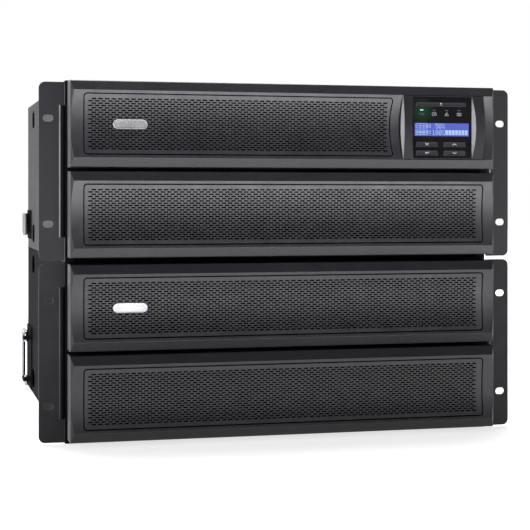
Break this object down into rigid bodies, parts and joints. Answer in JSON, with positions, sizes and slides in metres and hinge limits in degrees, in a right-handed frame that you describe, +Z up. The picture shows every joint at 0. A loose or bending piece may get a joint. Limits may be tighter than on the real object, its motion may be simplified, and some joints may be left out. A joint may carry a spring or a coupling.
{
  "type": "rackmount ups",
  "caption": "Rack-mount uninterruptible power supply with a display, standing on its matching external battery pack, with pull-off grille bezels and sliding battery trays.",
  "frame": {"origin": "centre of the stack's footprint, on the surface it stands on", "axes": "+Z up, front bezels face -Y, +X to the right seen from the front"},
  "size_m": [0.4826, 0.483, 0.35],
  "materials": {
    "case_paint": "fine textured charcoal powder coat",
    "pack_paint": "fine textured black powder coat",
    "tray_paint": "black powder coat",
    "filter_foam": "open-cell foam",
    "ear_paint": "satin black powder coat",
    "bezel_plastic": "satin charcoal moulding",
    "grille_plastic": "satin charcoal moulding",
    "badge_metal": "satin silver",
    "display_frame": "glossy black",
    "fascia_plastic": "glossy black",
    "lcd": "lit blue liquid-crystal display",
    "key_plastic": "satin dark grey",
    "lens_plastic": "translucent lens",
    "board": "green circuit board",
    "block_case": "moulded battery case",
    "heatsink_metal": "extruded",
    "core_steel": "varnished laminations and winding",
    "can_sleeve": "shrink sleeve",
    "fan_plastic": "moulded",
    "guard_metal": "nickel plated",
    "socket_plastic": "moulded",
    "breaker_plastic": "moulded",
    "chrome_wire": "polished",
    "bracket_paint": "black",
    "screw_metal": "black zinc"
  },
  "bodies": {
    "stack": {"ups_chassis": "case_paint", "ups_top_cover": "case_paint", "ups_rear_panel": "case_paint", "ups_front_frame": "tray_paint", "ups_ear_left": "ear_paint", "ups_ear_right": "ear_paint", "ups_link_socket": "socket_plastic", "pack_chassis": "pack_paint", "pack_top_cover": "pack_paint", "pack_rear_panel": "pack_paint", "pack_front_frame": "tray_paint", "pack_ear_left": "ear_paint", "pack_ear_right": "ear_paint", "pack_link_socket": "socket_plastic", "air_filter": "filter_foam", "display_housing": "display_frame", "display_fascia": "fascia_plastic", "lcd_screen": "lcd", "indicator_lenses": "lens_plastic", "display_board": "board", "power_board": "board", "heatsinks": "heatsink_metal", "transformer": "core_steel", "capacitors": "can_sleeve", "fan_frames": "fan_plastic", "fan_guards": "guard_metal", "outlet_block": "socket_plastic", "input_inlet": "socket_plastic", "data_ports": "socket_plastic", "card_slot_cover": "case_paint", "ups_side_tabs": "chrome_wire", "side_brackets": "bracket_paint", "case_screws": "screw_metal"},
    "ups_upper_cover": {"ups_upper_bezel": "bezel_plastic", "ups_upper_grille": "grille_plastic", "ups_badge": "badge_metal"},
    "ups_lower_cover": {"ups_lower_bezel": "bezel_plastic", "ups_lower_grille": "grille_plastic"},
    "pack_upper_cover": {"pack_upper_bezel": "bezel_plastic", "pack_upper_grille": "grille_plastic", "pack_badge": "badge_metal"},
    "pack_lower_cover": {"pack_lower_bezel": "bezel_plastic", "pack_lower_grille": "grille_plastic"},
    "ups_drawer": {"ups_battery_tray": "tray_paint", "ups_battery_blocks": "block_case"},
    "pack_upper_drawer": {"pack_upper_tray": "tray_paint", "pack_upper_blocks": "block_case"},
    "pack_lower_drawer": {"pack_lower_tray": "tray_paint", "pack_lower_blocks": "block_case"},
    "power_key": {"power_button": "key_plastic"},
    "escape_key": {"escape_button": "key_plastic"},
    "up_key": {"up_button": "key_plastic"},
    "enter_key": {"enter_button": "key_plastic"},
    "down_key": {"down_button": "key_plastic"},
    "left_impeller": {"fan_impeller_left": "fan_plastic"},
    "right_impeller": {"fan_impeller_right": "fan_plastic"},
    "left_breaker": {"breaker_left": "breaker_plastic"},
    "right_breaker": {"breaker_right": "breaker_plastic"},
    "left_handle": {"pack_handle_left": "chrome_wire"},
    "right_handle": {"pack_handle_right": "chrome_wire"}
  },
  "joints": [
    {"name": "ups_upper_cover_pull", "type": "slide", "parent": "stack", "child": "ups_upper_cover", "axis": [0, -1, 0], "range_m": [0, 0.06]},
    {"name": "ups_drawer_slide", "type": "slide", "parent": "stack", "child": "ups_drawer", "axis": [0, -1, 0], "range_m": [0, 0.32]},
    {"name": "ups_lower_cover_pull", "type": "slide", "parent": "stack", "child": "ups_lower_cover", "axis": [0, -1, 0], "range_m": [0, 0.4]},
    {"name": "pack_upper_drawer_slide", "type": "slide", "parent": "stack", "child": "pack_upper_drawer", "axis": [0, -1, 0], "range_m": [0, 0.32]},
    {"name": "pack_upper_cover_pull", "type": "slide", "parent": "stack", "child": "pack_upper_cover", "axis": [0, -1, 0], "range_m": [0, 0.4]},
    {"name": "pack_lower_drawer_slide", "type": "slide", "parent": "stack", "child": "pack_lower_drawer", "axis": [0, -1, 0], "range_m": [0, 0.32]},
    {"name": "pack_lower_cover_pull", "type": "slide", "parent": "stack", "child": "pack_lower_cover", "axis": [0, -1, 0], "range_m": [0, 0.4]},
    {"name": "power_key_press", "type": "slide", "parent": "stack", "child": "power_key", "axis": [0, 1, 0], "range_m": [0, 0.001], "stiffness_N_per_m": 400},
    {"name": "escape_key_press", "type": "slide", "parent": "stack", "child": "escape_key", "axis": [0, 1, 0], "range_m": [0, 0.001], "stiffness_N_per_m": 400},
    {"name": "up_key_press", "type": "slide", "parent": "stack", "child": "up_key", "axis": [0, 1, 0], "range_m": [0, 0.001], "stiffness_N_per_m": 400},
    {"name": "enter_key_press", "type": "slide", "parent": "stack", "child": "enter_key", "axis": [0, 1, 0], "range_m": [0, 0.001], "stiffness_N_per_m": 400},
    {"name": "down_key_press", "type": "slide", "parent": "stack", "child": "down_key", "axis": [0, 1, 0], "range_m": [0, 0.001], "stiffness_N_per_m": 400},
    {"name": "left_breaker_trip", "type": "slide", "parent": "stack", "child": "left_breaker", "axis": [0, 1, 0], "range_m": [0, 0.004]},
    {"name": "right_breaker_trip", "type": "slide", "parent": "stack", "child": "right_breaker", "axis": [0, 1, 0], "range_m": [0, 0.004]},
    {"name": "left_fan_spin", "type": "hinge", "parent": "stack", "child": "left_impeller", "pos_m": [-0.165, 0.2183, 0.306], "axis": [0, 1, 0], "continuous": true},
    {"name": "right_fan_spin", "type": "hinge", "parent": "stack", "child": "right_impeller", "pos_m": [-0.073, 0.2183, 0.306], "axis": [0, 1, 0], "continuous": true},
    {"name": "left_handle_swing", "type": "hinge", "parent": "stack", "child": "left_handle", "pos_m": [-0.2225, 0.1845, 0.04], "axis": [0, 0, 1], "range_deg": [0, 95]},
    {"name": "right_handle_swing", "type": "hinge", "parent": "stack", "child": "right_handle", "pos_m": [0.2225, 0.1845, 0.04], "axis": [0, 0, -1], "range_deg": [0, 95]}
  ],
  "couplings": [
    {"joint": "ups_lower_cover_pull", "follows": "ups_drawer_slide", "ratio": 1.25},
    {"joint": "pack_upper_cover_pull", "follows": "pack_upper_drawer_slide", "ratio": 1.25},
    {"joint": "pack_lower_cover_pull", "follows": "pack_lower_drawer_slide", "ratio": 1.25}
  ]
}
